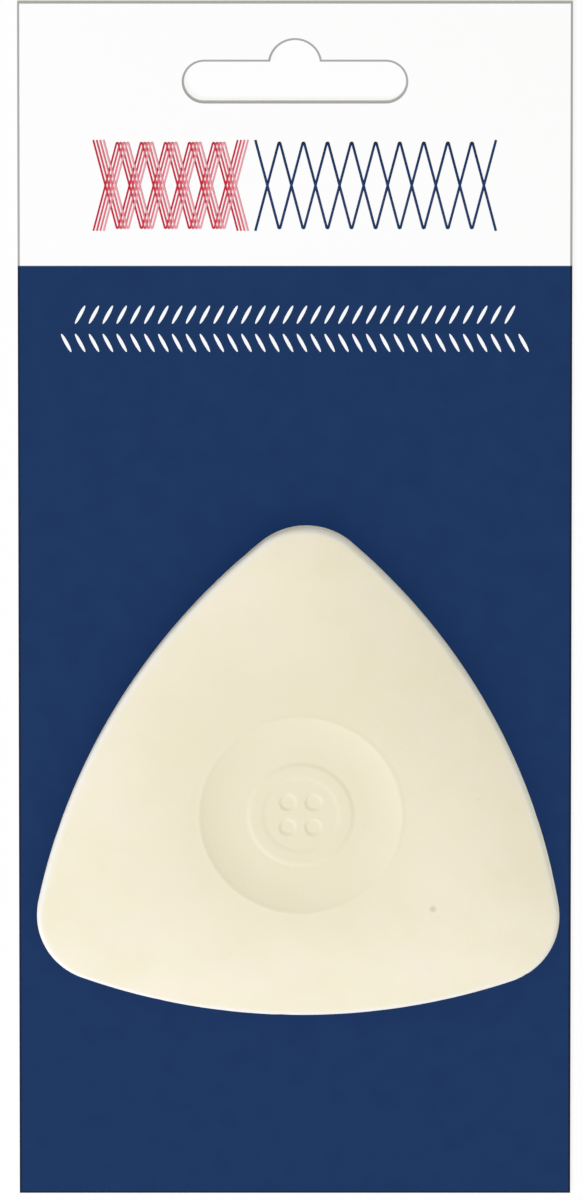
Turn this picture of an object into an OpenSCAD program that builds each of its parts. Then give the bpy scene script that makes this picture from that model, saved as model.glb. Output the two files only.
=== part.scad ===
// Tailor's chalk on its hang card.
// A pressed, rounded three-cornered chalk tablet is held on a printed
// card by one spot of peelable glue, and the card hangs from a peg hook.
// The card lies on its back: +Z points out of its printed face and +Y
// towards the hang slot. Millimetres.

/* [Card] */
// Width of the card
card_w = 60; // [59:0.5:90]
// Height of the card, from its bottom edge to its top edge
card_h = 133.6; // [110:0.1:180]
// Thickness of the board
card_t = 0.5; // [0.3:0.05:1.5]

/* [Hang slot] */
// Width of the hang slot, end to end
slot_w = 24; // [16:0.1:34]
// Height of the slot's straight part, which is also the width of its round ends
slot_h = 4.4; // [4.2:0.1:6]
// Distance from the card's top edge down to the slot's middle line
slot_drop = 8.9; // [7:0.1:16]
// Radius of the round notch that centres the hook
notch_r = 2.7; // [2.4:0.05:4]
// How far the notch rises above the slot's straight top
notch_rise = 2.4; // [1:0.1:3]

/* [Chalk tablet] */
// Distance from the tablet's middle to the tip of each corner
corner_reach = 31.6; // [26:0.05:34]
// Radius of the rounded corners
corner_r = 7.5; // [4:0.1:12]
// Radius of the three bulging sides
side_r = 70; // [45:1:160]
// How far the top corner leans to the right, as the pressed shape is a little uneven
corner_lean = 0.4; // [-1:0.1:1]
// Thickness of the tablet at its middle
chalk_t = 6.5; // [5:0.1:10]
// Height of the upright band round the tablet's edge
band_h = 0.8; // [0.4:0.1:2.4]
// Radius of the rounding between the band and each face
edge_r = 0.8; // [0.4:0.05:1.3]
// How late the faces turn down towards the edge: 2 is an even dome
face_power = 2; // [1.5:0.1:5]

/* [Dish] */
// Diameter of the round dish pressed into each face, at its lip
dish_d = 22; // [16:0.1:28]
// Depth of the dish
dish_depth = 0.5; // [0.15:0.05:0.8]
// Width of the dish's sloping wall, which is steepest at the lip
dish_wall = 4; // [1:0.1:5]

/* [Place on the card] */
// Height of the tablet's middle above the card's bottom edge
chalk_up = 44.4; // [38:0.1:60]
// How far the tablet sits to the right of the card's middle line
chalk_side = 0.6; // [-1:0.1:1]
// Turn of the tablet, anticlockwise in degrees
chalk_turn = -0.5; // [-5:0.1:5]
// Air between the card's face and the crown of the tablet's back
air_gap = 0.3; // [0.2:0.05:1]

/* [Glue spot] */
// Diameter of the squeezed glue spot
glue_d = 12; // [6:0.5:14]

/* [Hidden] */

// Curve resolution of the bores and arcs that stay true circles
$fn = 96;
// Facets along a corner arc, along a side arc and across an edge rounding
corner_steps = 12;
side_steps = 10;
edge_steps = 3;
// Facet rings between the edge rounding and the dish's lip
face_steps = 8;
// Facet rings from the dish's lip down to its flat floor
wall_steps = 4;
// Where the edge rounding stops, so that it runs on into the sloping face
edge_turn = 75;
// How far the slot's cutter stands out of the board
cut = 1;

// Height of the chalk's lowest point over the surface that the card lies on
chalk_z = card_t + air_gap;
// Height of the glue spot, from the card's face to the back dish's floor
glue_h = air_gap + dish_depth;
// The tablet's middle in the card's frame, whose zero is the card's middle
chalk_at = [chalk_side, chalk_up - card_h / 2];

// Distance from the tablet's middle to a corner circle's centre
corner_c = corner_reach - corner_r;
// Distance from the tablet's middle to a side arc's centre, which lies
// towards the opposite corner, so that the side touches both corner circles
side_c = (sqrt(4 * pow(side_r - corner_r, 2) - 3 * pow(corner_c, 2)) - corner_c) / 2;
// Half of the angle that a corner arc turns through
corner_turn = 60 - asin(sqrt(3) / 2 * corner_c / (side_r - corner_r));

// Height of each face over the end of its edge rounding
face_h = chalk_t / 2 - band_h / 2 - edge_r * sin(edge_turn);
// Inset of the edge rounding's end from the tablet's outline
edge_inset = edge_r * (1 - cos(edge_turn));

function polar(r, a) = [r * cos(a), r * sin(a)];

// Points of an arc in steps, without its last point
function arc(centre, r, from, to, steps) =
    [for (i = [0 : steps - 1]) centre + polar(r, from + (to - from) * i / steps)];

// The even outline, drawn in by inset: three corner arcs and three side arcs
function even_outline(inset) = [
    for (k = [0 : 2])
    let (corner_a = 90 + 120 * k, side_a = corner_a + 60)
    each concat(
        arc(polar(corner_c, corner_a), corner_r - inset,
            corner_a - corner_turn, corner_a + corner_turn, corner_steps),
        arc(polar(-side_c, side_a), side_r - inset,
            corner_a + corner_turn, corner_a + 120 - corner_turn, side_steps))
];
// The tablet's outline: the even one, pushed sideways in step with its height
function outline(inset) =
    [for (p = even_outline(inset)) [p.x + p.y * corner_lean / corner_reach, p.y]];

// The rings of one face, from the band outwards to the dish's floor.
// Each ring is [flat points, height above the tablet's middle plane].
function edge_rings() = [
    for (i = [0 : edge_steps])
    let (a = edge_turn * i / edge_steps)
    [outline(edge_r * (1 - cos(a))), band_h / 2 + edge_r * sin(a)]
];
function face_rings(rim) = [
    for (i = [face_steps - 1 : -1 : 0])
    let (t = i / face_steps)
    [[for (p = rim) p * (t + (1 - t) * dish_d / 2 / norm(p))],
     chalk_t / 2 - face_h * pow(t, face_power)]
];
function dish_rings(rim) = [
    for (i = [wall_steps - 1 : -1 : 0])
    let (t = i / wall_steps)
    [[for (p = rim) p * (dish_d / 2 - dish_wall * (1 - t)) / norm(p)],
     chalk_t / 2 - dish_depth * (1 - pow(t, 2))]
];
function half_rings() =
    let (rim = outline(edge_inset))
    concat(edge_rings(), face_rings(rim), dish_rings(rim));

// A closed solid through rings of equal length, capped flat at both ends
module loft(rings) {
    n = len(rings[0]);
    last = len(rings) - 1;
    walls = [
        for (k = [0 : last - 1], i = [0 : n - 1])
        let (a = k * n + i, b = k * n + (i + 1) % n)
        each [[a, a + n, b + n], [a, b + n, b]]
    ];
    caps = [[for (i = [0 : n - 1]) i], [for (i = [n - 1 : -1 : 0]) last * n + i]];
    polyhedron([for (ring = rings) each ring], concat(walls, caps));
}

module hang_slot() {
    end_x = (slot_w - slot_h) / 2;
    square([2 * end_x, slot_h], center = true);
    for (x = [-end_x, end_x])
        translate([x, 0]) circle(d = slot_h);
    translate([0, slot_h / 2 + notch_rise - notch_r]) circle(r = notch_r);
}

module hang_card() {
    color("#1e3760")
    difference() {
        translate([-card_w / 2, -card_h / 2, 0]) cube([card_w, card_h, card_t]);
        translate([0, card_h / 2 - slot_drop, -cut])
            linear_extrude(card_t + 2 * cut) hang_slot();
    }
}

// The spot is squeezed flat between card and chalk, and its rim bulges round
module glue_dot() {
    color("#e8dfc4")
    translate([chalk_at.x, chalk_at.y, card_t])
    rotate_extrude() {
        square([(glue_d - glue_h) / 2, glue_h]);
        translate([(glue_d - glue_h) / 2, glue_h / 2])
            intersection() {
                circle(d = glue_h);
                translate([0, -glue_h / 2]) square([glue_h, glue_h]);
            }
    }
}

module chalk() {
    front = half_rings();
    back = [for (i = [len(front) - 1 : -1 : 0]) [front[i][0], -front[i][1]]];
    color("#efe8cf")
    translate([chalk_at.x, chalk_at.y, chalk_z + chalk_t / 2])
    rotate(chalk_turn)
        loft([for (ring = concat(back, front)) [for (p = ring[0]) [p.x, p.y, ring[1]]]]);
}

hang_card();
glue_dot();
chalk();
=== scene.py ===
# %% [markdown]
# # Tailor's chalk on its hang card
# A tailor's chalk is a small tablet pressed from chalk, talc and a little binder. It is sold
# glued to a printed card that hangs from a peg. This lesson dresses three measured solids: the
# card, the glue spot and the tablet. The tablet's shape follows a rule, so Geometry Nodes grow
# it. The card is built from its outlines, as a die cuts it from a sheet, and its printed stitches
# are two small trees used again and again.

# %% Load the frame
from math import asin, cos, degrees, pi, radians, sin, sqrt

import bmesh
import bpy
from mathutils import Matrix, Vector, noise


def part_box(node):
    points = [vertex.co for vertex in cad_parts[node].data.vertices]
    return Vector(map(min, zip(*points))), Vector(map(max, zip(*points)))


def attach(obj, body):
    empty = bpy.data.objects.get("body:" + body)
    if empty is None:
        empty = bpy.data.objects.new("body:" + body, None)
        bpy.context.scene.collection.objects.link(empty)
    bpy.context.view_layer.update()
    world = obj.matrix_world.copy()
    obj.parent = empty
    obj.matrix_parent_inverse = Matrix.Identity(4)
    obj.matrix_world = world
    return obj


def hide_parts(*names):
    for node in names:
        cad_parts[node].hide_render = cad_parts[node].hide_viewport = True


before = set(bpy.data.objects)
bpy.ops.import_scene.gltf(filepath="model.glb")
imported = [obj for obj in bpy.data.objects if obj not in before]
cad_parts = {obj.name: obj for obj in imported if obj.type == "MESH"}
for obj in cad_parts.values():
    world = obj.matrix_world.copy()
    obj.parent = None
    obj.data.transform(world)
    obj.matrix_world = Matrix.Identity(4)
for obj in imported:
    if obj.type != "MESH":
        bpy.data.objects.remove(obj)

scene = bpy.context.scene
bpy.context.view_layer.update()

# %% [markdown]
# ## Sizes
# Blender works in metres here. What the frame can tell is read from it: the card, the glue spot
# that marks the tablet's middle, and the tablet's reach and thickness. What a bounding box can't
# tell, such as a radius, is written down once as a named value.

# %% Places and sizes from the frame
MM = 0.001

card_low, card_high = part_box("hang_card")
glue_low, glue_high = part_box("glue_dot")
chalk_low, chalk_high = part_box("chalk")
card_size = card_high - card_low
chalk_middle = (glue_low + glue_high) / 2
chalk_middle.z = (chalk_low.z + chalk_high.z) / 2
corner_reach = chalk_high.y - chalk_middle.y
chalk_thickness = chalk_high.z - chalk_low.z
print(f"tablet {chalk_thickness / MM:.2f} mm thick, corner reach {corner_reach / MM:.2f} mm")

# %% Sizes that a box can't tell
corner_radius = 7.5 * MM
side_radius = 70 * MM
band_height = 0.8 * MM
edge_radius = 0.8 * MM
edge_turn = radians(75)
face_power = 2.0
dish_radius = 11.0 * MM
dish_wall = 4.0 * MM
dish_depth = 0.5 * MM
chalk_turn = radians(-0.5)
corner_lean = 0.4 * MM

slot_width = 24.0 * MM
slot_height = 4.4 * MM
slot_drop = 8.9 * MM
notch_radius = 2.7 * MM
notch_rise = 2.4 * MM

# %% [markdown]
# ## Small helpers
# Colours are written as the sRGB hex values that a paint chart gives, and one function turns them
# into the linear values that shaders need. Another adds a node, sets it and links it, so that a
# material or a geometry tree reads as a list of what it is made of. Two more open and end a
# material, one turns a real size into a pattern's scale, and the last two make a mesh of a loose
# shape and an object of a mesh.

# %% Colour and node helpers
def linear(code):
    """An sRGB hex colour, such as "efe8cf", as a linear RGBA value."""
    channels = [int(code[i:i + 2], 16) / 255 for i in (0, 2, 4)]
    bent = [c / 12.92 if c <= 0.04045 else ((c + 0.055) / 1.055) ** 2.4 for c in channels]
    return (*bent, 1.0)


def add(tree, kind, sockets=None, **settings):
    """Adds a node with its settings. A socket gets a value, a link, or a node's first output."""
    node = tree.nodes.new(kind)
    for name, value in settings.items():
        setattr(node, name, value)
    for key, value in (sockets or {}).items():
        if isinstance(value, bpy.types.Node):
            value = value.outputs[0]
        if isinstance(value, bpy.types.NodeSocket):
            tree.links.new(value, node.inputs[key])
        else:
            node.inputs[key].default_value = value
    return node


def start_material(name):
    """An empty material tree, with the object's own coordinates ready for its patterns."""
    material = bpy.data.materials.new(name)
    material.use_nodes = True
    material.node_tree.nodes.clear()
    where = add(material.node_tree, "ShaderNodeTexCoord").outputs["Object"]
    return material, material.node_tree, where


def finish_material(tree, look):
    """Ends a material in one shader with this look."""
    shader = add(tree, "ShaderNodeBsdfPrincipled", look)
    add(tree, "ShaderNodeOutputMaterial", {"Surface": shader})


def per_feature(size):
    """The scale of a noise whose blotches are about this size, in metres."""
    return 1 / size


# %% Mesh and object helpers
def take_mesh(name, shape, materials):
    """The finished mesh of a loose shape, with its materials."""
    mesh = bpy.data.meshes.new(name)
    shape.to_mesh(mesh)
    shape.free()
    for material in materials:
        mesh.materials.append(material)
    return mesh


def place(name, mesh):
    """A new object at the origin that holds this mesh."""
    piece = bpy.data.objects.new(name, mesh)
    scene.collection.objects.link(piece)
    return piece


# %% [markdown]
# ## Pressed chalk
# Pressed chalk is a mineral powder with a little binder, squeezed in a polished steel die. The eye
# reads it as dead matt and slightly creamy, with soft clouds where the mix was uneven, a fine
# grain, a few pin holes where air was trapped, and paler powder along the edge where it rubs.
# Painted shade is added to the colour: a slightly deeper tone around the middle, so that the
# flanks read lighter, and a darker colour inside the pin holes. The grain is really finer than
# 0.1 mm; it is drawn at 0.3 mm so that it shows in the picture.

# %% Chalk material
CREAM = "f2ead3"
CREAM_SHADE = "ede6cb"
CREAM_PINK = "f3e8d8"
# painted shade: the deeper cream that darkens the middle of the face
CREAM_PAINTED_SHADE = "eae2c7"
POWDER = "f1f0ec"
# painted shade: the darker colour inside the pin holes
PIN_HOLE_SHADE = "b3aa8d"
known_pit = chalk_middle + Vector((14.4, -10.5, 2.85)) * MM
# the spot that the painted shade darkens around
painted_shade_spot = Vector((chalk_middle.x - 2 * MM, chalk_middle.y + 3 * MM, chalk_high.z))


def make_chalk_material():
    material, tree, where = start_material("pressed_chalk")
    clouds = add(tree, "ShaderNodeTexNoise", {"Vector": where, "Scale": per_feature(9 * MM),
                                              "Detail": 3.0, "Roughness": 0.6})
    cloud_mask = add(tree, "ShaderNodeMapRange", {"Value": clouds.outputs["Fac"], "From Min": 0.35,
                                                  "From Max": 0.7})
    body = add(tree, "ShaderNodeMix", {0: cloud_mask, 6: linear(CREAM), 7: linear(CREAM_SHADE)},
               data_type="RGBA")
    blush = add(tree, "ShaderNodeTexNoise", {"Vector": where, "Scale": per_feature(4 * MM),
                                             "Detail": 2.0, "W": 3.0}, noise_dimensions="4D")
    blush_mask = add(tree, "ShaderNodeMapRange", {"Value": blush.outputs["Fac"], "From Min": 0.52,
                                                  "From Max": 0.72, "To Max": 0.6})
    mixed = add(tree, "ShaderNodeMix", {0: blush_mask, 6: body.outputs[2], 7: linear(CREAM_PINK)},
                data_type="RGBA")

    # painted shade: a little darker around a spot near the middle, so that the flanks read lighter
    from_spot = add(tree, "ShaderNodeVectorMath", {0: where, 1: painted_shade_spot},
                    operation="DISTANCE")
    painted_shade_mask = add(tree, "ShaderNodeMapRange", {"Value": from_spot.outputs["Value"],
                                                  "From Min": 9 * MM, "From Max": 24 * MM,
                                                  "To Min": 0.8, "To Max": 0.0},
                     interpolation_type="SMOOTHSTEP")
    pressed = add(tree, "ShaderNodeMix", {0: painted_shade_mask, 6: mixed.outputs[2],
                                          7: linear(CREAM_PAINTED_SHADE)}, data_type="RGBA")

    # paler powder on the rubbed edge, from the attribute that the tablet's tree stores
    worn = add(tree, "ShaderNodeAttribute", attribute_name="rim")
    patchy = add(tree, "ShaderNodeTexNoise", {"Vector": where, "Scale": per_feature(1.2 * MM),
                                              "Detail": 4.0})
    patches = add(tree, "ShaderNodeMapRange", {"Value": patchy.outputs["Fac"], "From Min": 0.3,
                                               "From Max": 0.6, "To Min": 0.5, "To Max": 0.95})
    worn_mask = add(tree, "ShaderNodeMath", {0: worn.outputs["Fac"], 1: patches},
                    operation="MULTIPLY")
    rubbed = add(tree, "ShaderNodeMix", {0: worn_mask, 6: pressed.outputs[2], 7: linear(POWDER)},
                 data_type="RGBA")

    # pin holes, darkened with painted shade inside them: faint ones at the middle of a few Voronoi
    # cells, and the plain one that the tablet has near its right corner
    cells = add(tree, "ShaderNodeTexVoronoi", {"Vector": where, "Scale": per_feature(4 * MM),
                                               "Randomness": 1.0})
    cell_pick = add(tree, "ShaderNodeSeparateColor", {"Color": cells.outputs["Color"]})
    chosen = add(tree, "ShaderNodeMath", {0: cell_pick, 1: 0.85}, operation="GREATER_THAN")
    dots = add(tree, "ShaderNodeMapRange", {"Value": cells.outputs["Distance"], "From Min": 0.01,
                                            "From Max": 0.05, "To Min": 0.35, "To Max": 0.0},
               interpolation_type="SMOOTHSTEP")
    small_holes = add(tree, "ShaderNodeMath", {0: chosen, 1: dots}, operation="MULTIPLY")
    reach = add(tree, "ShaderNodeVectorMath", {0: where, 1: known_pit}, operation="DISTANCE")
    big_hole = add(tree, "ShaderNodeMapRange", {"Value": reach.outputs["Value"],
                                                "From Min": 0.12 * MM, "From Max": 0.55 * MM,
                                                "To Min": 0.6, "To Max": 0.0},
                   interpolation_type="SMOOTHSTEP")
    holes = add(tree, "ShaderNodeMath", {0: small_holes, 1: big_hole}, operation="MAXIMUM")
    hole_shade = add(tree, "ShaderNodeMath", {0: holes, 1: 0.7}, operation="MULTIPLY")
    color = add(tree, "ShaderNodeMix", {0: hole_shade, 6: rubbed.outputs[2], 7: linear(PIN_HOLE_SHADE)},
                data_type="RGBA")

    grain = add(tree, "ShaderNodeTexNoise", {"Vector": where, "Scale": per_feature(0.3 * MM),
                                             "Detail": 4.0, "Roughness": 0.65})
    relief = add(tree, "ShaderNodeMath", {0: holes, 1: -3.0, 2: grain.outputs["Fac"]},
                 operation="MULTIPLY_ADD")
    bump = add(tree, "ShaderNodeBump", {"Strength": 0.35, "Distance": 0.06 * MM, "Height": relief})
    finish_material(tree, {"Base Color": color.outputs[2], "Roughness": 0.92, "IOR": 1.5,
                           "Specular IOR Level": 0.25, "Normal": bump})
    return material


pressed_chalk = make_chalk_material()
print("pressed chalk is made of", len(pressed_chalk.node_tree.nodes), "nodes")

# %% [markdown]
# ## Geometry Nodes: start a tree, grow a mesh
# A geometry tree is only a recipe, so two helpers are wanted. The first opens a tree with named
# inputs. The second puts the tree on an object, sets its inputs by their identifiers, takes the
# finished mesh and removes the modifier, so that what is left is a plain mesh at the origin.

# %% Tree helpers
def start_tree(name, inputs):
    """A geometry tree with a named input for each number, and the sockets that bring them in."""
    tree = bpy.data.node_groups.new(name, "GeometryNodeTree")
    for label, value in inputs.items():
        kind = "NodeSocketInt" if isinstance(value, int) else "NodeSocketFloat"
        socket = tree.interface.new_socket(label, in_out="INPUT", socket_type=kind)
        socket.default_value = value
    tree.interface.new_socket("Geometry", in_out="OUTPUT", socket_type="NodeSocketGeometry")
    return tree, tree.nodes.new("NodeGroupInput").outputs


def finish_tree(tree, geometry, material):
    """Ends a tree in Realize Instances and Set Material."""
    real = add(tree, "GeometryNodeRealizeInstances", {"Geometry": geometry})
    dressed = add(tree, "GeometryNodeSetMaterial", {"Geometry": real, "Material": material})
    add(tree, "NodeGroupOutput", {0: dressed})


def grow(name, tree, values):
    """A new object whose plain mesh is what the tree makes with these input values."""
    piece = place(name, bpy.data.meshes.new(name))
    modifier = piece.modifiers.new("grow", "NODES")
    modifier.node_group = tree
    for item in tree.interface.items_tree:
        if item.in_out == "INPUT" and item.name in values:
            modifier[item.identifier] = values[item.name]
    ready = piece.evaluated_get(bpy.context.evaluated_depsgraph_get())
    mesh = bpy.data.meshes.new_from_object(ready)
    piece.modifiers.remove(modifier)
    piece.data = mesh
    mesh.name = name
    print(f"{name}: {len(mesh.vertices)} points, {len(mesh.polygons)} faces")
    return piece


# %% [markdown]
# ## The tablet
# The outline is six arcs: three tight corners and three long bulging sides, each touching the
# next. An arc's point is its centre plus its radius along a direction, so drawing the outline in
# by an inset only makes every radius smaller. A pressed shape is never quite even: the top corner
# leans, so the outline is pushed sideways in step with its height. The section is five zones from
# the dish's middle to the band: dish floor, dish wall, face, edge rounding and band. The tree
# bends a flat grid: across the grid runs the direction, up the grid runs the section, first the
# back half and then the front. A grid keeps its faces in order, so the closed tablet needs no
# repair after the bend.

# %% What the outline's arcs need
corner_centre = corner_reach - corner_radius
arc_gap = side_radius - corner_radius
side_centre = (sqrt(4 * arc_gap ** 2 - 3 * corner_centre ** 2) - corner_centre) / 2
corner_half_turn = pi / 3 - asin(sqrt(3) / 2 * corner_centre / arc_gap)
face_height = chalk_thickness / 2 - band_height / 2 - edge_radius * sin(edge_turn)
print(f"side arcs start {degrees(corner_half_turn):.1f} degrees off each corner,",
      f"faces rise {face_height / MM:.2f} mm")

# share of the section's grid lines that each zone gets, from the middle to the band
ZONES = {"floor": (0.0, 0.36), "wall": (0.36, 0.51), "face": (0.51, 0.84),
         "rounding": (0.84, 0.96), "band": (0.96, 1.0)}
# how the face's rows crowd towards the dish's lip, where the section bends most
LIP_CROWDING = 1.6

# where the button's edge, well and holes start and stop sloping, as shares of its radius
BUTTON_EDGE = (0.93, 1.02)
WELL_EDGE = (0.66, 0.76)
HOLE_EDGE = (0.11, 0.18)
HOLE_OUT = 0.24
# how deep the well and the holes are, as shares of the button's height
WELL_DEPTH = 0.55
HOLE_DEPTH = 1.1

chalk_inputs = {
    "Around": 361, "Along": 264,
    "Corner centre": corner_centre, "Corner radius": corner_radius,
    "Corner half turn": corner_half_turn, "Side centre": side_centre,
    "Side radius": side_radius, "Band height": band_height, "Edge radius": edge_radius,
    "Edge turn": edge_turn, "Face height": face_height, "Face power": face_power,
    "Dish radius": dish_radius, "Dish wall": dish_wall, "Dish depth": dish_depth,
    "Lip height": 0.03 * MM, "Lip width": 0.5 * MM,
    "Button radius": 5.8 * MM, "Button height": 0.12 * MM, "Wave height": 0.03 * MM,
    "Chip depth": 0.06 * MM, "Turn": chalk_turn, "Lean": corner_lean / corner_reach,
    "Middle X": chalk_middle.x, "Middle Y": chalk_middle.y, "Middle Z": chalk_middle.z,
}


# %% The tablet's tree
def make_chalk_tree():
    tree, given = start_tree("pressed_tablet", chalk_inputs)
    grid = add(tree, "GeometryNodeMeshGrid", {"Size X": 1.0, "Size Y": 1.0,
                                              "Vertices X": given["Around"],
                                              "Vertices Y": given["Along"]})
    spot = add(tree, "GeometryNodeInputPosition")
    flat = add(tree, "ShaderNodeSeparateXYZ", {0: spot})
    around = add(tree, "ShaderNodeMath", {0: flat.outputs["X"], 1: 0.5})
    along = add(tree, "ShaderNodeMath", {0: flat.outputs["Y"], 1: 2.0}, operation="MULTIPLY")
    front = add(tree, "ShaderNodeMath", {0: along}, operation="SIGN")
    away = add(tree, "ShaderNodeMath", {0: along}, operation="ABSOLUTE")
    outward = add(tree, "ShaderNodeMath", {0: 1.0, 1: away}, operation="SUBTRACT")
    part = {name: add(tree, "ShaderNodeMapRange", {"Value": outward, "From Min": start,
                                                   "From Max": end})
            for name, (start, end) in ZONES.items()}

    part["face"] = add(tree, "ShaderNodeMath", {0: part["face"], 1: LIP_CROWDING},
                       operation="POWER")

    # direction: each lobe is one corner arc and then one side arc
    lobes = add(tree, "ShaderNodeMath", {0: around, 1: 3.0}, operation="MULTIPLY")
    lobe = add(tree, "ShaderNodeMath", {0: lobes}, operation="FLOOR")
    share = add(tree, "ShaderNodeMath", {0: lobes}, operation="FRACT")
    corner_angle = add(tree, "ShaderNodeMath", {0: lobe, 1: 2 * pi / 3, 2: pi / 2},
                       operation="MULTIPLY_ADD")
    back_turn = add(tree, "ShaderNodeMath", {0: given["Corner half turn"], 1: -1.0},
                    operation="MULTIPLY")
    corner_part = add(tree, "ShaderNodeMapRange", {"Value": share, "From Max": 0.5,
                                                   "To Min": back_turn,
                                                   "To Max": given["Corner half turn"]})
    side_turn = add(tree, "ShaderNodeMath", {0: given["Corner half turn"], 1: -2.0, 2: 2 * pi / 3},
                    operation="MULTIPLY_ADD")
    side_part = add(tree, "ShaderNodeMapRange", {"Value": share, "From Min": 0.5,
                                                 "To Max": side_turn})
    turned = add(tree, "ShaderNodeMath", {0: corner_angle, 1: corner_part})
    direction = add(tree, "ShaderNodeMath", {0: turned, 1: side_part})

    # the arc's centre and radius
    on_side = add(tree, "ShaderNodeMath", {0: share, 1: 0.5}, operation="GREATER_THAN")
    centre_angle = add(tree, "ShaderNodeMath", {0: on_side, 1: pi / 3, 2: corner_angle},
                       operation="MULTIPLY_ADD")
    other_way = add(tree, "ShaderNodeMath", {0: given["Side centre"], 1: -1.0},
                    operation="MULTIPLY")
    centre_reach = add(tree, "ShaderNodeMix", {0: on_side, 2: given["Corner centre"],
                                               3: other_way})
    radius = add(tree, "ShaderNodeMix", {0: on_side, 2: given["Corner radius"],
                                         3: given["Side radius"]})

    # edge rounding: a quarter turn that stops where the face's slope takes over
    still_to_turn = add(tree, "ShaderNodeMath", {0: 1.0, 1: part["rounding"]},
                        operation="SUBTRACT")
    tilt = add(tree, "ShaderNodeMath", {0: still_to_turn, 1: given["Edge turn"]},
               operation="MULTIPLY")
    tilt_cos = add(tree, "ShaderNodeMath", {0: tilt}, operation="COSINE")
    tilt_sin = add(tree, "ShaderNodeMath", {0: tilt}, operation="SINE")
    inset_share = add(tree, "ShaderNodeMath", {0: 1.0, 1: tilt_cos}, operation="SUBTRACT")
    inset = add(tree, "ShaderNodeMath", {0: inset_share, 1: given["Edge radius"]},
                operation="MULTIPLY")
    arm = add(tree, "ShaderNodeMath", {0: radius, 1: inset}, operation="SUBTRACT")

    # rim point = centre + arm along the direction
    ends = []
    for angle, length in ((centre_angle, centre_reach), (direction, arm)):
        x = add(tree, "ShaderNodeMath", {0: angle}, operation="COSINE")
        y = add(tree, "ShaderNodeMath", {0: angle}, operation="SINE")
        unit = add(tree, "ShaderNodeCombineXYZ", {"X": x, "Y": y})
        ends.append(add(tree, "ShaderNodeVectorMath", {0: unit, "Scale": length},
                        operation="SCALE"))
    even_rim = add(tree, "ShaderNodeVectorMath", {0: ends[0], 1: ends[1]})

    # the pressed shape is a little uneven: it leans sideways in step with its height
    rim_up = add(tree, "ShaderNodeSeparateXYZ", {0: even_rim})
    lean = add(tree, "ShaderNodeMath", {0: rim_up.outputs["Y"], 1: given["Lean"]},
               operation="MULTIPLY")
    sideways = add(tree, "ShaderNodeCombineXYZ", {"X": lean})
    rim = add(tree, "ShaderNodeVectorMath", {0: even_rim, 1: sideways})

    # inside the dish's lip the rings are circles, and on the face they open into the outline
    floor_radius = add(tree, "ShaderNodeMath", {0: given["Dish radius"], 1: given["Dish wall"]},
                       operation="SUBTRACT")
    floor_reach = add(tree, "ShaderNodeMath", {0: part["floor"], 1: floor_radius},
                      operation="MULTIPLY")
    ring_radius = add(tree, "ShaderNodeMath", {0: part["wall"], 1: given["Dish wall"],
                                               2: floor_reach}, operation="MULTIPLY_ADD")
    rim_way = add(tree, "ShaderNodeVectorMath", {0: rim}, operation="NORMALIZE")
    ring = add(tree, "ShaderNodeVectorMath", {0: rim_way, "Scale": ring_radius}, operation="SCALE")
    plan = add(tree, "ShaderNodeMix", {0: part["face"], 4: ring, 5: rim}, data_type="VECTOR")

    # height over the middle plane, built up from the band, the rounding, the face and the dish
    half_band = add(tree, "ShaderNodeMath", {0: part["band"], 1: 0.5}, operation="MULTIPLY")
    off_band = add(tree, "ShaderNodeMath", {0: 0.5, 1: half_band}, operation="SUBTRACT")
    band_up = add(tree, "ShaderNodeMath", {0: off_band, 1: given["Band height"]},
                  operation="MULTIPLY")
    edge_up = add(tree, "ShaderNodeMath", {0: tilt_sin, 1: given["Edge radius"], 2: band_up},
                  operation="MULTIPLY_ADD")
    fall = add(tree, "ShaderNodeMath", {0: part["face"], 1: given["Face power"]},
               operation="POWER")
    rise = add(tree, "ShaderNodeMath", {0: 1.0, 1: fall}, operation="SUBTRACT")
    face_up = add(tree, "ShaderNodeMath", {0: rise, 1: given["Face height"], 2: edge_up},
                  operation="MULTIPLY_ADD")
    climb = add(tree, "ShaderNodeMath", {0: part["wall"], 1: 2.0}, operation="POWER")
    below_lip = add(tree, "ShaderNodeMath", {0: 1.0, 1: climb}, operation="SUBTRACT")
    sunk = add(tree, "ShaderNodeMath", {0: below_lip, 1: given["Dish depth"]},
               operation="MULTIPLY")
    hollow = add(tree, "ShaderNodeMath", {0: face_up, 1: sunk}, operation="SUBTRACT")

    # the punch squeezes a faint bead up around the dish's lip
    reach = add(tree, "ShaderNodeVectorMath", {0: plan.outputs[1]}, operation="LENGTH")
    off_lip = add(tree, "ShaderNodeMath", {0: reach.outputs["Value"], 1: given["Dish radius"]},
                  operation="SUBTRACT")
    lip_reach = add(tree, "ShaderNodeMath", {0: off_lip}, operation="ABSOLUTE")
    bead = add(tree, "ShaderNodeMapRange", {"Value": lip_reach, "From Max": given["Lip width"],
                                            "To Min": given["Lip height"], "To Max": 0.0},
               interpolation_type="SMOOTHSTEP")
    height = add(tree, "ShaderNodeMath", {0: hollow, 1: bead})

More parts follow.
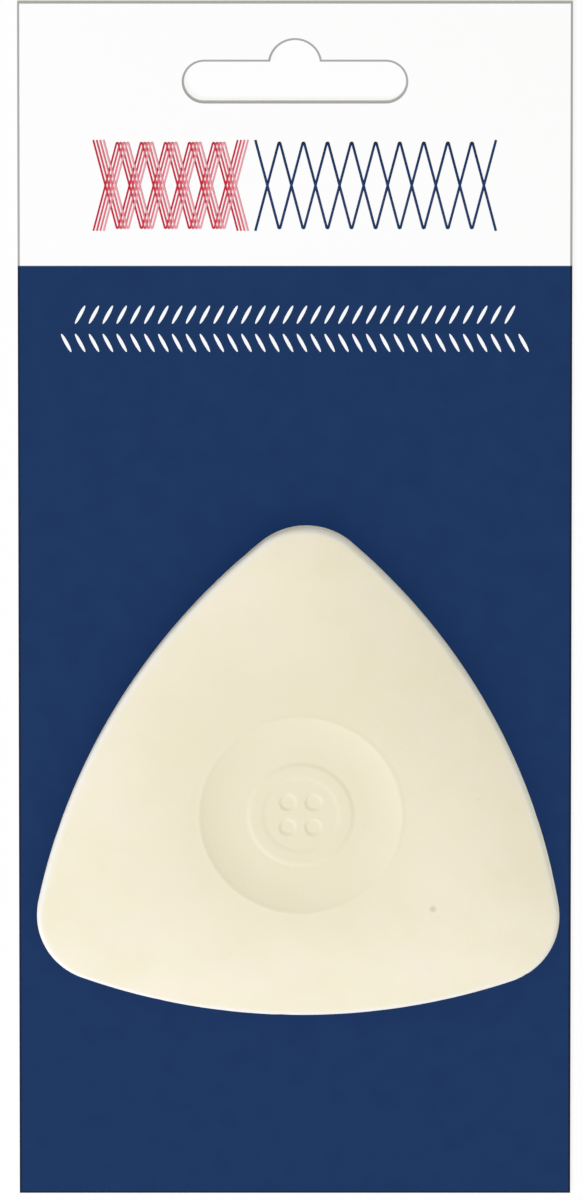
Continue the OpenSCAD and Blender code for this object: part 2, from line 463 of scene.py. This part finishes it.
    # a plain four-hole button, raised in the front dish
    of_button = add(tree, "ShaderNodeMath", {0: reach.outputs["Value"], 1: given["Button radius"]},
                    operation="DIVIDE")
    disc = add(tree, "ShaderNodeMapRange", {"Value": of_button, "From Min": BUTTON_EDGE[0],
                                            "From Max": BUTTON_EDGE[1], "To Min": 1.0,
                                            "To Max": 0.0}, interpolation_type="SMOOTHSTEP")
    well = add(tree, "ShaderNodeMapRange", {"Value": of_button, "From Min": WELL_EDGE[0],
                                            "From Max": WELL_EDGE[1], "To Min": WELL_DEPTH,
                                            "To Max": 0.0}, interpolation_type="SMOOTHSTEP")
    quarter = add(tree, "ShaderNodeVectorMath", {0: plan.outputs[1]}, operation="ABSOLUTE")
    hole_out = add(tree, "ShaderNodeMath", {0: given["Button radius"], 1: HOLE_OUT},
                   operation="MULTIPLY")
    hole_at = add(tree, "ShaderNodeCombineXYZ", {"X": hole_out, "Y": hole_out})
    hole_reach = add(tree, "ShaderNodeVectorMath", {0: quarter, 1: hole_at}, operation="DISTANCE")
    of_hole = add(tree, "ShaderNodeMath", {0: hole_reach.outputs["Value"],
                                           1: given["Button radius"]}, operation="DIVIDE")
    hole = add(tree, "ShaderNodeMapRange", {"Value": of_hole, "From Min": HOLE_EDGE[0],
                                            "From Max": HOLE_EDGE[1], "To Min": HOLE_DEPTH,
                                            "To Max": 0.0}, interpolation_type="SMOOTHSTEP")
    raised = add(tree, "ShaderNodeMath", {0: disc, 1: well}, operation="SUBTRACT")
    pierced = add(tree, "ShaderNodeMath", {0: raised, 1: hole}, operation="SUBTRACT")
    on_front = add(tree, "ShaderNodeMath", {0: front, 1: 0.0}, operation="GREATER_THAN")
    button = add(tree, "ShaderNodeMath", {0: pierced, 1: on_front}, operation="MULTIPLY")
    carved = add(tree, "ShaderNodeMath", {0: button, 1: given["Button height"], 2: height},
                 operation="MULTIPLY_ADD")

    # slow waves from the uneven filling of the die, always inwards
    waves = add(tree, "ShaderNodeTexNoise", {"Vector": plan.outputs[1],
                                             "Scale": per_feature(9 * MM), "Detail": 2.0})
    wave = add(tree, "ShaderNodeMath", {0: waves.outputs["Fac"], 1: given["Wave height"]},
               operation="MULTIPLY")
    uneven = add(tree, "ShaderNodeMath", {0: carved, 1: wave}, operation="SUBTRACT")
    signed = add(tree, "ShaderNodeMath", {0: uneven, 1: front}, operation="MULTIPLY")
    lifted = add(tree, "ShaderNodeCombineXYZ", {"Z": signed})
    shape = add(tree, "ShaderNodeVectorMath", {0: plan.outputs[1], 1: lifted})

    # powder and small chips, only where the edge turns
    edge_start, edge_end = ZONES["rounding"]
    near_edge = add(tree, "ShaderNodeMapRange", {"Value": outward, "From Min": edge_start - 0.01,
                                                 "From Max": edge_start + 0.04},
                    interpolation_type="SMOOTHSTEP")
    off_the_band = add(tree, "ShaderNodeMapRange", {"Value": outward, "From Min": edge_end - 0.05,
                                                    "From Max": edge_end, "To Min": 1.0,
                                                    "To Max": 0.25},
                       interpolation_type="SMOOTHSTEP")
    powder = add(tree, "ShaderNodeMath", {0: near_edge, 1: off_the_band}, operation="MULTIPLY")
    nicks = add(tree, "ShaderNodeTexNoise", {"Vector": shape, "Scale": per_feature(1.6 * MM),
                                             "Detail": 3.0})
    deep_nicks = add(tree, "ShaderNodeMapRange", {"Value": nicks.outputs["Fac"], "From Min": 0.58,
                                                  "From Max": 0.8})
    chip = add(tree, "ShaderNodeMath", {0: deep_nicks, 1: near_edge}, operation="MULTIPLY")
    chip_in = add(tree, "ShaderNodeMath", {0: chip, 1: given["Chip depth"]}, operation="MULTIPLY")
    inward = add(tree, "ShaderNodeVectorMath", {0: shape}, operation="NORMALIZE")
    chip_step = add(tree, "ShaderNodeVectorMath", {0: inward, "Scale": chip_in}, operation="SCALE")
    chipped = add(tree, "ShaderNodeVectorMath", {0: shape, 1: chip_step}, operation="SUBTRACT")

    # into its place on the card
    spun = add(tree, "ShaderNodeVectorRotate", {"Vector": chipped, "Angle": given["Turn"]},
               rotation_type="Z_AXIS")
    middle = add(tree, "ShaderNodeCombineXYZ", {"X": given["Middle X"], "Y": given["Middle Y"],
                                                "Z": given["Middle Z"]})
    placed = add(tree, "ShaderNodeVectorMath", {0: spun, 1: middle})
    marked = add(tree, "GeometryNodeStoreNamedAttribute", {"Geometry": grid, "Name": "rim",
                                                           "Value": powder}, data_type="FLOAT",
                 domain="POINT")
    bent = add(tree, "GeometryNodeSetPosition", {"Geometry": marked, "Position": placed})
    closed = add(tree, "GeometryNodeMergeByDistance", {"Geometry": bent, "Distance": 0.0005 * MM})
    smooth = add(tree, "GeometryNodeSetShadeSmooth", {"Geometry": closed})
    finish_tree(tree, smooth, pressed_chalk)
    return tree


# %% Grow the tablet
tablet = grow("chalk_tablet", make_chalk_tree(), chalk_inputs)
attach(tablet, "tablet")
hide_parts("chalk")

# %% [markdown]
# ## Printed board
# The card is coated white board: a smooth clay coat on the front, which takes the ink, a greyish
# pulp core that shows at the cut, and a bare fibrous back. The print is a white header over a
# solid navy panel under a matt varnish, so the ink stays deep and only a weak, wide sheen is left.
# Each look is a short material of its own.

# %% Card colours and materials
NAVY = "14335e"
NAVY_WORN = "12305a"
COAT_WHITE = "fdfdfd"
# painted shade: the crushed rim's grey and deep navy stand for the shade of its sloping edge
CUT_GREY_SHADE = "a8a8a8"
CUT_NAVY_SHADE = "101c36"
CORE = "dedad0"
CORE_SHADE = "cbc5b8"
BACK = "dcd8ce"
BACK_SHADE = "c4bdae"
header_height = 29.4 * MM
panel_top = card_high.y - header_height
print_blur = 0.05 * MM


def find_header(tree, at):
    """0 on the panel and 1 on the white header above it, with the print's narrow blur between."""
    return add(tree, "ShaderNodeMapRange", {"Value": at.outputs["Y"],
                                            "From Min": panel_top - print_blur,
                                            "From Max": panel_top + print_blur})


def make_front_material():
    material, tree, where = start_material("varnished_print")
    at = add(tree, "ShaderNodeSeparateXYZ", {0: where})
    header = find_header(tree, at)
    mottle = add(tree, "ShaderNodeTexNoise", {"Vector": where, "Scale": per_feature(2.5 * MM),
                                              "Detail": 3.0})
    mottle_mask = add(tree, "ShaderNodeMapRange", {"Value": mottle.outputs["Fac"], "From Min": 0.3,
                                                   "From Max": 0.7})
    ink = add(tree, "ShaderNodeMix", {0: mottle_mask, 6: linear(NAVY), 7: linear(NAVY_WORN)},
              data_type="RGBA")
    color = add(tree, "ShaderNodeMix", {0: header, 6: ink.outputs[2], 7: linear(COAT_WHITE)},
                data_type="RGBA")
    fibre = add(tree, "ShaderNodeTexNoise", {"Vector": where, "Scale": per_feature(0.5 * MM),
                                             "Detail": 3.0})
    bump = add(tree, "ShaderNodeBump", {"Strength": 0.12, "Distance": 0.02 * MM,
                                        "Height": fibre.outputs["Fac"]})
    finish_material(tree, {"Base Color": color.outputs[2], "Roughness": 0.5, "IOR": 1.45,
                           "Specular IOR Level": 0.1, "Normal": bump})
    return material


def make_cut_material():
    """The die's crushed rim: coat and ink squeezed into it under painted shade, and bare core
    behind.
    """
    material, tree, where = start_material("die_cut_edge")
    at = add(tree, "ShaderNodeSeparateXYZ", {0: where})
    header = find_header(tree, at)
    # painted shade over the coat and ink: grey on the header's rim, deep navy on the panel's
    rim_ink_and_shade = add(tree, "ShaderNodeMix", {0: header, 6: linear(CUT_NAVY_SHADE), 7: linear(CUT_GREY_SHADE)},
                data_type="RGBA")
    fibre = add(tree, "ShaderNodeTexNoise", {"Vector": where, "Scale": per_feature(0.25 * MM),
                                             "Detail": 4.0})
    core = add(tree, "ShaderNodeMix", {0: fibre.outputs["Fac"], 6: linear(CORE),
                                       7: linear(CORE_SHADE)}, data_type="RGBA")
    crushed = add(tree, "ShaderNodeMapRange", {"Value": at.outputs["Z"],
                                               "From Min": card_high.z - 0.12 * MM,
                                               "From Max": card_high.z - 0.06 * MM})
    color = add(tree, "ShaderNodeMix", {0: crushed, 6: core.outputs[2], 7: rim_ink_and_shade.outputs[2]},
                data_type="RGBA")
    bump = add(tree, "ShaderNodeBump", {"Strength": 0.4, "Distance": 0.03 * MM,
                                        "Height": fibre.outputs["Fac"]})
    finish_material(tree, {"Base Color": color.outputs[2], "Roughness": 0.8, "IOR": 1.45,
                           "Specular IOR Level": 0.2, "Normal": bump})
    return material


def make_back_material():
    """Bare board: soft fibres, long one way, because paper fibres line up with the web."""
    material, tree, where = start_material("bare_board")
    along = add(tree, "ShaderNodeMapping", {"Vector": where, "Scale": (1.0, 0.25, 1.0)})
    fibre = add(tree, "ShaderNodeTexNoise", {"Vector": along, "Scale": per_feature(0.4 * MM),
                                             "Detail": 5.0, "Roughness": 0.7})
    mask = add(tree, "ShaderNodeMapRange", {"Value": fibre.outputs["Fac"], "From Min": 0.35,
                                            "From Max": 0.75})
    color = add(tree, "ShaderNodeMix", {0: mask, 6: linear(BACK), 7: linear(BACK_SHADE)},
                data_type="RGBA")
    bump = add(tree, "ShaderNodeBump", {"Strength": 0.25, "Distance": 0.03 * MM,
                                        "Height": fibre.outputs["Fac"]})
    finish_material(tree, {"Base Color": color.outputs[2], "Roughness": 0.9, "IOR": 1.45,
                           "Specular IOR Level": 0.2, "Normal": bump})
    return material


varnished_print = make_front_material()
die_cut_edge = make_cut_material()
bare_board = make_back_material()
print(f"the navy panel starts {header_height / MM:.1f} mm below the card's top edge")

# %% [markdown]
# ## The card
# A steel rule die cuts the card and its slot in one stroke, and crushes a narrow rim of the board
# along every cut, which shows as a thin line; its grey and deep navy are painted shade of the
# sloping rim, over the coat and ink squeezed into it. So the card is three pairs of outlines, a
# rectangle and the slot: at the back, where the crushed rim starts, and drawn back by the rim's
# width at the front. Walls join the pairs, and a flat fill closes the front and the back.

# %% Outlines of the card and its slot
ARC_STEPS = 24
rim_width = 0.24 * MM
rim_drop = 0.05 * MM


def arc(centre, radius, start, end):
    """Points of an arc from start to end, both in radians."""
    turns = [start + (end - start) * i / ARC_STEPS for i in range(ARC_STEPS + 1)]
    return [(centre[0] + radius * cos(a), centre[1] + radius * sin(a)) for a in turns]


def card_outline(back):
    return [(card_low.x + back, card_low.y + back), (card_high.x - back, card_low.y + back),
            (card_high.x - back, card_high.y - back), (card_low.x + back, card_high.y - back)]


def slot_outline(back):
    """Round ends, a straight bottom, and a top broken by the hook's round notch."""
    y = card_high.y - slot_drop
    end_x = (slot_width - slot_height) / 2
    half = slot_height / 2 + back
    notch_y = y + slot_height / 2 + notch_rise - notch_radius
    start = asin((y + half - notch_y) / (notch_radius + back))
    return [*arc((end_x, y), half, -pi / 2, pi / 2),
            *arc((0, notch_y), notch_radius + back, start, pi - start),
            *arc((-end_x, y), half, pi / 2, 3 * pi / 2)]


# %% Cut the card
FRONT, CUT, BACK_SIDE = 0, 1, 2


def make_card():
    shape = bmesh.new()
    levels = ((card_low.z, 0), (card_high.z - rim_drop, 0), (card_high.z, rim_width))
    for outline in (card_outline, slot_outline):
        rings = [[shape.verts.new((x, y, z)) for x, y in outline(back)] for z, back in levels]
        for below, above in zip(rings, rings[1:]):
            for i, corner in enumerate(below):
                j = (i + 1) % len(below)
                wall = shape.faces.new((corner, below[j], above[j], above[i]))
                wall.material_index = CUT
    for z, side, material in ((card_high.z, 1, FRONT), (card_low.z, -1, BACK_SIDE)):
        rim = [edge for edge in shape.edges
               if edge.is_boundary and all(abs(v.co.z - z) < 0.001 * MM for v in edge.verts)]
        made = bmesh.ops.triangle_fill(shape, edges=rim, use_beauty=True, normal=(0, 0, side))
        for item in made["geom"]:
            if isinstance(item, bmesh.types.BMFace):
                item.material_index = material
    bmesh.ops.recalc_face_normals(shape, faces=shape.faces)
    open_edges = sum(not edge.is_manifold for edge in shape.edges)
    mesh = take_mesh("die_cut_card", shape, (varnished_print, die_cut_edge, bare_board))
    print(f"card: {len(mesh.polygons)} faces, {open_edges} open edges")
    return mesh


card = place("die_cut_card", make_card())
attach(card, "card")
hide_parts("hang_card")

# %% [markdown]
# ## Printed stitches
# The print is plain sewing stitches: a band of trellis stitch on the header, whose four coral
# strands hand over to a single navy one, and two rows of slanted basting stitches on the panel.
# Two small trees draw them. In the first, a line of points is pushed up and down by turns, once
# each way, so that two zigzags cross; their tips are rounded and they get the flat section of a
# printed line. In the second, a thin disc is stretched into one stitch and copied along a line.
# Each strand of ink lies a hair higher than the one before, as inks printed one after another do,
# so that no two faces share a plane.

# %% Inks
NAVY_INK = "1a3460"
WHITE_INK = "f6f7fa"
CORAL_INKS = ("c2253b", "d44c5e", "e07583", "ec9fa9")


def make_ink(name, code):
    """Offset ink under the same matt varnish as the card."""
    material, tree, where = start_material(name)
    mottle = add(tree, "ShaderNodeTexNoise", {"Vector": where, "Scale": per_feature(0.8 * MM),
                                              "Detail": 2.0})
    lighter = add(tree, "ShaderNodeHueSaturation", {"Value": 1.08, "Color": linear(code)})
    color = add(tree, "ShaderNodeMix", {0: mottle.outputs["Fac"], 6: linear(code), 7: lighter},
                data_type="RGBA")
    finish_material(tree, {"Base Color": color.outputs[2], "Roughness": 0.5, "IOR": 1.45,
                           "Specular IOR Level": 0.1})
    return material


navy_ink = make_ink("navy_ink", NAVY_INK)
white_ink = make_ink("white_ink", WHITE_INK)
coral_inks = [make_ink(f"coral_ink_{number}", code) for number, code in enumerate(CORAL_INKS, 1)]
print(len(coral_inks) + 2, "inks mixed")


# %% Where a row of stitches starts
def start_row(tree, given, count):
    """A line of points that are one pitch apart."""
    start = add(tree, "ShaderNodeCombineXYZ", {"X": given["Start X"], "Y": given["Start Y"],
                                               "Z": given["Start Z"]})
    step = add(tree, "ShaderNodeCombineXYZ", {"X": given["Pitch"]})
    return add(tree, "GeometryNodeMeshLine", {"Count": count, "Start Location": start,
                                              "Offset": step})


# %% The trellis tree
trellis_inputs = {
    "Turns": 9, "Pitch": 2.6 * MM, "Rise": 10.1 * MM, "Width": 0.27 * MM, "Tip radius": 0.1 * MM,
    "Ink height": 0.02 * MM, "Ink step": 0.004 * MM,
    "Start X": 0.0, "Start Y": 0.0, "Start Z": 0.0,
}


def make_trellis_tree(material):
    tree, given = start_tree("trellis_stitch", trellis_inputs)
    line = start_row(tree, given, given["Turns"])
    index = add(tree, "GeometryNodeInputIndex")
    odd = add(tree, "ShaderNodeMath", {0: index, 1: 2.0}, operation="MODULO")
    side = add(tree, "ShaderNodeMath", {0: odd, 1: 0.5}, operation="SUBTRACT")
    swing = add(tree, "ShaderNodeMath", {0: side, 1: given["Rise"]}, operation="MULTIPLY")
    back_swing = add(tree, "ShaderNodeMath", {0: swing, 1: -1.0}, operation="MULTIPLY")
    zigzag_push = add(tree, "ShaderNodeCombineXYZ", {"Y": swing})
    zagzig_push = add(tree, "ShaderNodeCombineXYZ", {"Y": back_swing, "Z": given["Ink step"]})
    zigzag = add(tree, "GeometryNodeSetPosition", {"Geometry": line, "Offset": zigzag_push})
    zagzig = add(tree, "GeometryNodeSetPosition", {"Geometry": line, "Offset": zagzig_push})
    crossed = add(tree, "GeometryNodeJoinGeometry")
    tree.links.new(zagzig.outputs[0], crossed.inputs[0])
    tree.links.new(zigzag.outputs[0], crossed.inputs[0])
    route = add(tree, "GeometryNodeMeshToCurve", {"Mesh": crossed})
    rounded = add(tree, "GeometryNodeFilletCurve", {"Curve": route, "Count": 6,
                                                    "Radius": given["Tip radius"]}, mode="POLY")
    upright = add(tree, "GeometryNodeSetCurveNormal", {"Curve": rounded}, mode="Z_UP")
    section = add(tree, "GeometryNodeCurvePrimitiveQuadrilateral", {"Width": given["Width"],
                                                                    "Height": given["Ink height"]})
    ribbon = add(tree, "GeometryNodeCurveToMesh", {"Curve": upright, "Profile Curve": section,
                                                   "Fill Caps": True})
    finish_tree(tree, ribbon, material)
    return tree


# %% The stitch row tree
stitch_inputs = {
    "Count": 10, "Pitch": 1.5 * MM, "Length": 2.3 * MM, "Width": 0.37 * MM, "Slant": 0.0,
    "Ink height": 0.02 * MM, "Start X": 0.0, "Start Y": 0.0, "Start Z": 0.0,
}


def make_stitch_tree(material):
    tree, given = start_tree("stitch_row", stitch_inputs)
    line = start_row(tree, given, given["Count"])
    disc = add(tree, "GeometryNodeMeshCylinder", {"Vertices": 20, "Radius": 0.5, "Depth": 1.0})
    size = add(tree, "ShaderNodeCombineXYZ", {"X": given["Length"], "Y": given["Width"],
                                              "Z": given["Ink height"]})
    stitch = add(tree, "GeometryNodeTransform", {"Geometry": disc, "Scale": size})
    turn = add(tree, "ShaderNodeCombineXYZ", {"Z": given["Slant"]})
    row = add(tree, "GeometryNodeInstanceOnPoints", {"Points": line, "Instance": stitch,
                                                     "Rotation": turn})
    finish_tree(tree, row, material)
    return tree


# %% Print the trellis and the rows
ink_layer = 0.008 * MM
print_z = card_high.z + ink_layer
ornament_left = -21.8 * MM
ornament_y = card_high.y - 20.45 * MM
strand_step = 0.37 * MM
navy_gap = 0.8 * MM
coral_turns = 7
navy_turns = 11


def on_card(piece):
    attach(piece, "card")


for number, ink in enumerate(coral_inks):
    on_card(grow(f"trellis_coral_{number + 1}", make_trellis_tree(ink), {
        **trellis_inputs, "Turns": coral_turns, "Width": 0.2 * MM,
        "Start X": ornament_left + number * strand_step, "Start Y": ornament_y,
        "Start Z": print_z + number * ink_layer}))
coral_end = (ornament_left + (coral_turns - 1) * trellis_inputs["Pitch"]
             + (len(coral_inks) - 1) * strand_step)
on_card(grow("trellis_navy", make_trellis_tree(navy_ink), {
    **trellis_inputs, "Turns": navy_turns, "Start X": coral_end + navy_gap,
    "Start Y": ornament_y, "Start Z": print_z}))

basting_slant = radians(62)
for name, down, count, side in (("upper", 34.85 * MM, 32, 1), ("lower", 38.0 * MM, 34, -1)):
    start_x = -(count - 1) / 2 * stitch_inputs["Pitch"]
    on_card(grow(f"basting_stitches_{name}", make_stitch_tree(white_ink), {
        **stitch_inputs, "Count": count, "Slant": side * basting_slant, "Start X": start_x,
        "Start Y": card_high.y - down, "Start Z": print_z}))

# %% [markdown]
# ## The glue spot
# Peelable glue is a soft, clear, slightly yellow rubbery melt. It is set down hot and squeezed by
# the tablet, so its rim bulges, its outline wanders a little, and its top has the small ripples
# that are left when it lets go. Rings of points, each pushed in or out by a smooth noise, give a
# closed lens that Subdivision then rounds.

# %% Glue material
GLUE_AMBER = "efe6c8"


def make_glue_material():
    material, tree, where = start_material("peelable_glue")
    ripples = add(tree, "ShaderNodeTexNoise", {"Vector": where, "Scale": per_feature(0.9 * MM),
                                               "Detail": 2.0})
    bump = add(tree, "ShaderNodeBump", {"Strength": 0.3, "Distance": 0.08 * MM,
                                        "Height": ripples.outputs["Fac"]})
    finish_material(tree, {"Base Color": linear(GLUE_AMBER), "Roughness": 0.22, "IOR": 1.48,
                           "Transmission Weight": 0.55, "Normal": bump})
    return material


# %% Squeeze the glue
RIM_BULGE = 0.45
RIM_WANDER = 0.035
RIM_WAVES = 1.7
RIM_STEPS = 48


def make_glue_mesh(material):
    radius = (glue_high.x - glue_low.x) / 2
    height = glue_high.z - glue_low.z
    bulge = height * RIM_BULGE
    profile = [(0.0, 0.0), (0.5 * radius, 0.0), (radius - bulge, 0.0),
               (radius - 0.25 * bulge, 0.18 * height), (radius, 0.5 * height),
               (radius - 0.25 * bulge, 0.82 * height), (radius - bulge, height),
               (0.5 * radius, height), (0.0, height)]
    shape = bmesh.new()
    rings = []
    for reach, up in profile[1:-1]:
        ring = []
        for i in range(RIM_STEPS):
            a = 2 * pi * i / RIM_STEPS
            sway = noise.noise(Vector((cos(a), sin(a), up / height)) * RIM_WAVES)
            wander = 1 - RIM_WANDER * (1 + sway) * reach / radius
            ring.append(shape.verts.new((chalk_middle.x + reach * wander * cos(a),
                                         chalk_middle.y + reach * wander * sin(a),
                                         glue_low.z + up)))
        rings.append(ring)
    for below, above in zip(rings, rings[1:]):
        for i in range(RIM_STEPS):
            j = (i + 1) % RIM_STEPS
            shape.faces.new((below[i], below[j], above[j], above[i]))
    for ring, up, order in ((rings[0], 0.0, -1), (rings[-1], height, 1)):
        pole = shape.verts.new((chalk_middle.x, chalk_middle.y, glue_low.z + up))
        for i in range(RIM_STEPS):
            shape.faces.new((ring[i], ring[(i + 1) % RIM_STEPS], pole)[::order])
    mesh = take_mesh("glue_spot", shape, [material])
    for face in mesh.polygons:
        face.use_smooth = True
    return mesh


glue = place("glue_spot", make_glue_mesh(make_glue_material()))
rounding = glue.modifiers.new("rounding", "SUBSURF")
rounding.levels = rounding.render_levels = 1
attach(glue, "card")
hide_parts("glue_dot")
print("glue spot squeezed to", round((glue_high.z - glue_low.z) / MM, 2), "mm")

# %% [markdown]
# ## Floor, light and camera
# The card lies on a plain white table. One large soft lamp stands in front on the left, so that
# the tablet's left shoulder is bright and its right one falls off, a weak low one behind opens the
# far edge, and an even sky fills the rest. The white ground comes from the floor's and the sky's
# own colour where the camera, a gloss or a clear body looks at them, and never from more light on
# the object.

# %% Floor
WHITE = (1.0, 1.0, 1.0, 1.0)
TABLE_PAINT = "fafafa"
table_reach = 3.0
table_drop = 0.02 * MM


def seen_directly(tree):
    """1 for camera, glossy and transmission rays, and 0 for light that bounces."""
    path = add(tree, "ShaderNodeLightPath")
    either = add(tree, "ShaderNodeMath", {0: path.outputs["Is Camera Ray"],
                                          1: path.outputs["Is Glossy Ray"]}, operation="MAXIMUM")
    return add(tree, "ShaderNodeMath", {0: either, 1: path.outputs["Is Transmission Ray"]},
               operation="MAXIMUM")


def make_floor():
    material, tree, _ = start_material("white_table")
    paint = add(tree, "ShaderNodeBsdfDiffuse", {"Color": linear(TABLE_PAINT)})
    glow = add(tree, "ShaderNodeEmission", {"Color": WHITE, "Strength": 1.0})
    share = add(tree, "ShaderNodeMath", {0: seen_directly(tree), 1: 0.85}, operation="MULTIPLY")
    both = add(tree, "ShaderNodeMixShader", {0: share, 1: paint, 2: glow})
    add(tree, "ShaderNodeOutputMaterial", {"Surface": both})
    mesh = bpy.data.meshes.new("table")
    corners = [(x * table_reach, y * table_reach, card_low.z - table_drop)
               for x, y in ((-1, -1), (1, -1), (1, 1), (-1, 1))]
    mesh.from_pydata(corners, [], [(0, 1, 2, 3)])
    mesh.materials.append(material)
    table = place("table", mesh)


make_floor()
print(f"table {2 * table_reach:.0f} m wide, {table_drop / MM:.2f} mm below the card")

# %% Sky and lamps
# A white surface that faces up gets a level of about 1 in red, green and blue, split between cool
# lamps and a warm sky. So flat colours stay true, and only the slopes turn cool or warm.
KEY_LEVEL = (0.475, 0.482, 0.595)
EDGE_LEVEL = (0.06, 0.06, 0.075)
SKY_LEVEL = (0.49, 0.483, 0.36)


def make_sky():
    world = bpy.data.worlds.new("studio")
    world.use_nodes = True
    world.node_tree.nodes.clear()
    tree = world.node_tree
    fill = add(tree, "ShaderNodeBackground", {"Color": (*SKY_LEVEL, 1.0), "Strength": 1.0})
    ground = add(tree, "ShaderNodeBackground", {"Color": WHITE, "Strength": 1.0})
    both = add(tree, "ShaderNodeMixShader", {0: seen_directly(tree), 1: fill, 2: ground})
    add(tree, "ShaderNodeOutputWorld", {"Surface": both})
    scene.world = world


# the tablet turns its own far side dark but throws no shadow over the card, as in the photograph
passed_by_lamps = bpy.data.collections.new("passed_by_lamps")
passed_by_lamps.objects.link(tablet)
passed_by_lamps.collection_objects[0].light_linking.link_state = "EXCLUDE"


def make_lamp(name, level, azimuth, height, distance, size):
    """A square soft lamp that gives a surface that faces up this level."""
    light = bpy.data.lights.new(name, "AREA")
    light.size = size
    light.color = level
    light.energy = pi ** 2 * distance ** 2 / sin(height)
    lamp = bpy.data.objects.new(name, light)
    way = Vector((cos(height) * cos(azimuth), cos(height) * sin(azimuth), sin(height)))
    lamp.location = way * distance
    lamp.rotation_euler = (-way).to_track_quat("-Z", "Y").to_euler()
    lamp.light_linking.blocker_collection = passed_by_lamps
    lamp.visible_camera = False
    scene.collection.objects.link(lamp)
    print(f"{name} stands {degrees(height):.0f} degrees up, {distance} m away")


make_sky()
make_lamp("key", KEY_LEVEL, azimuth=radians(233), height=radians(45), distance=2.5, size=0.9)
make_lamp("edge_lamp", EDGE_LEVEL, azimuth=radians(80), height=radians(20), distance=2.5, size=0.6)

# %% Camera
PICTURE = (583, 1200)
card_width_in_picture = 553.2
PIXEL = card_size.x / card_width_in_picture
LOOK_TILT = radians(14.7)
CAMERA_DISTANCE = 3.25
LENS = 800
card_in_picture = (295.0, 600.3)


def make_camera():
    """A long lens, tilted over from the card's top, so that the picture stays nearly square-on."""
    data = bpy.data.cameras.new("camera")
    data.sensor_fit = "VERTICAL"
    data.lens = LENS
    data.sensor_height = PICTURE[1] * PIXEL * data.lens / CAMERA_DISTANCE
    data.sensor_width = 1.08 * data.sensor_height
    data.clip_end = 20
    aside = (PICTURE[0] / 2 - card_in_picture[0]) * PIXEL
    down = (PICTURE[1] / 2 - card_in_picture[1]) * PIXEL
    target = Vector((aside, -down / cos(LOOK_TILT), card_high.z))
    camera = bpy.data.objects.new("camera", data)
    camera.location = target + Vector((0, sin(LOOK_TILT), cos(LOOK_TILT))) * CAMERA_DISTANCE
    camera.rotation_euler = (-LOOK_TILT, 0, 0)
    scene.collection.objects.link(camera)
    scene.camera = camera
    print(f"camera {CAMERA_DISTANCE} m away, sensor {data.sensor_height:.2f} mm high")


make_camera()
scene.view_settings.view_transform = "Standard"
